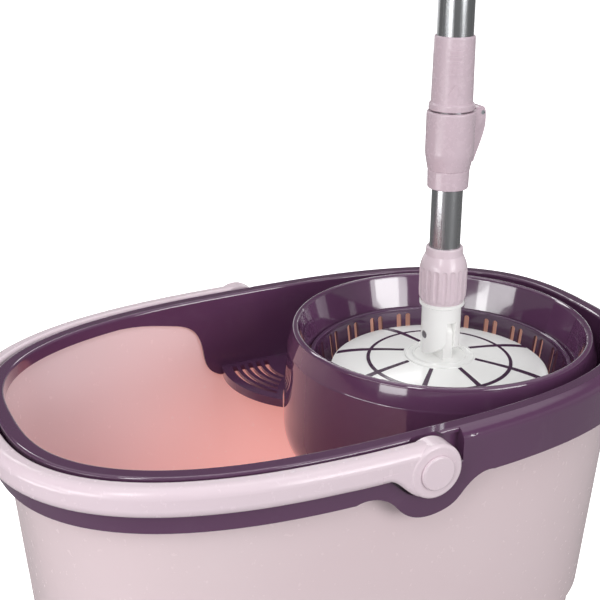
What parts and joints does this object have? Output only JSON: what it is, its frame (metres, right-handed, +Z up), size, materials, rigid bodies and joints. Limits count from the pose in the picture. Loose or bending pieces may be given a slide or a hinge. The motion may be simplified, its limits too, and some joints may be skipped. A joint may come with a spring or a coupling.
{
  "type": "spin mop",
  "caption": "Spin mop set: oval bucket with a folding bail, spin basket and drain shelf, and a telescopic hand-press mop with a round microfibre head.",
  "frame": {"origin": "centre of the bucket's underside, on the floor", "axes": "+X along the bucket towards the spin basket, +Y to the back, +Z up along the parked mop handle"},
  "size_m": [0.4761, 0.3108, 1.086],
  "materials": {
    "bucket_pink": "gloss",
    "plum_gloss": "gloss",
    "lilac_plastic": "satin gloss",
    "white_plastic": "gloss",
    "plum_inlay": "satin gloss",
    "bearing_plastic": "satin",
    "tube_aluminium": "satin anodised",
    "zinc_steel": "zinc plated",
    "microfibre": "looped strands"
  },
  "bodies": {
    "bucket": {"bucket_body": "bucket_pink", "rim_band": "plum_gloss", "basket_housing": "plum_gloss", "splash_ring": "bucket_pink", "drain_shelf": "plum_gloss", "spindle": "zinc_steel", "spindle_nut": "zinc_steel", "thrust_washer": "bearing_plastic", "bail_pins": "white_plastic", "bail_caps": "lilac_plastic"},
    "bail": {"bail_handle": "lilac_plastic"},
    "basket": {"spin_basket": "plum_gloss", "basket_bush": "bearing_plastic", "basket_cap": "plum_gloss"},
    "mop_head": {"mop_plate": "white_plastic", "plate_ribs": "plum_inlay", "refill_ring": "white_plastic", "strands": "microfibre", "tilt_pin": "zinc_steel"},
    "lower_handle": {"tilt_hub": "white_plastic", "lower_tube": "tube_aluminium", "drive_nut": "bearing_plastic"},
    "collar": {"collar_nut": "lilac_plastic"},
    "slider": {"slide_liner": "bearing_plastic"},
    "upper_handle": {"upper_tube": "tube_aluminium", "clamp_body": "lilac_plastic", "clamp_pad": "bearing_plastic", "lever_pin": "zinc_steel", "twist_bar": "zinc_steel", "bar_holder": "bearing_plastic", "hand_grip": "lilac_plastic", "end_cap": "lilac_plastic"},
    "lever": {"cam_lever": "lilac_plastic"},
    "sleeve": {"lock_sleeve": "lilac_plastic"}
  },
  "joints": [
    {"name": "bail_swing", "type": "hinge", "parent": "bucket", "child": "bail", "pos_m": [-0.003, 0, 0.2725], "axis": [0, 1, 0], "range_deg": [0, 90]},
    {"name": "basket_spin", "type": "hinge", "parent": "bucket", "child": "basket", "pos_m": [0.0985, 0, 0.2], "axis": [0, 0, 1], "continuous": true},
    {"name": "mop_lift", "type": "slide", "parent": "basket", "child": "mop_head", "axis": [0, 0, 1], "range_m": [0, 0.4]},
    {"name": "hub_tilt", "type": "hinge", "parent": "mop_head", "child": "lower_handle", "pos_m": [0.0985, 0, 0.286], "axis": [1, 0, 0], "range_deg": [-45, 45]},
    {"name": "collar_turn", "type": "hinge", "parent": "lower_handle", "child": "collar", "pos_m": [0.0985, 0, 0.33], "axis": [0, 0, 1], "range_deg": [0, 90]},
    {"name": "handle_press", "type": "slide", "parent": "lower_handle", "child": "slider", "axis": [0, 0, 1], "range_m": [0, 0.3]},
    {"name": "handle_counterturn", "type": "hinge", "parent": "slider", "child": "upper_handle", "pos_m": [0.0985, 0, 0.41], "axis": [0, 0, 1], "continuous": true},
    {"name": "lever_flip", "type": "hinge", "parent": "upper_handle", "child": "lever", "pos_m": [0.1195, 0, 0.449], "axis": [0, -1, 0], "range_deg": [0, 110]},
    {"name": "sleeve_turn", "type": "hinge", "parent": "upper_handle", "child": "sleeve", "pos_m": [0.0985, 0, 0.476], "axis": [0, 0, 1], "range_deg": [0, 60]}
  ],
  "couplings": [
    {"joint": "basket_spin", "follows": "handle_press", "rad_per_m": -62.832},
    {"joint": "handle_counterturn", "follows": "handle_press", "rad_per_m": 62.832}
  ]
}
